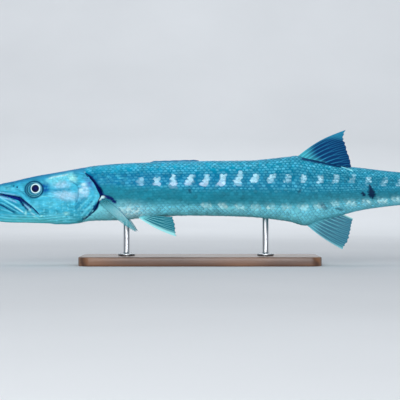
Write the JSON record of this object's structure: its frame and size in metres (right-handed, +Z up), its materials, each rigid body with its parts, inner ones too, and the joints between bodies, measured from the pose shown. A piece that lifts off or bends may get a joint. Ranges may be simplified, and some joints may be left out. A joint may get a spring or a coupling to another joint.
{
  "type": "barracuda",
  "caption": "Life-size still model of a great barracuda, mouth nearly closed and throat lowered, held level on a flat base by slim rods.",
  "frame": {"origin": "middle of the underside of the stand's base, on the ground", "axes": "+X from snout to tail along the fish, +Z up, the fish's left side towards -Y"},
  "size_m": [1.109, 0.16, 0.271],
  "materials": {
    "skin": "satin",
    "dark_fin": "satin",
    "clear_fin": "satin",
    "eye": "polished",
    "tooth": "satin",
    "stand_wood": "satin varnish",
    "stand_steel": "brushed"
  },
  "bodies": {
    "root": {"head": "skin", "lower_jaw": "skin", "gill_cover_left": "skin", "gill_cover_right": "skin", "eye_left": "eye", "eye_right": "eye", "trunk_front": "skin", "trunk_rear": "skin", "tail_stem": "skin", "first_dorsal_fin": "dark_fin", "second_dorsal_fin": "dark_fin", "anal_fin": "clear_fin", "tail_fin_upper": "dark_fin", "tail_fin_lower": "dark_fin", "pelvic_fin_left": "clear_fin", "pelvic_fin_right": "clear_fin", "pectoral_fin_left": "clear_fin", "pectoral_fin_right": "clear_fin", "stand_base": "stand_wood", "stand_rod_front": "stand_steel", "stand_rod_rear": "stand_steel"}
  },
  "joints": []
}
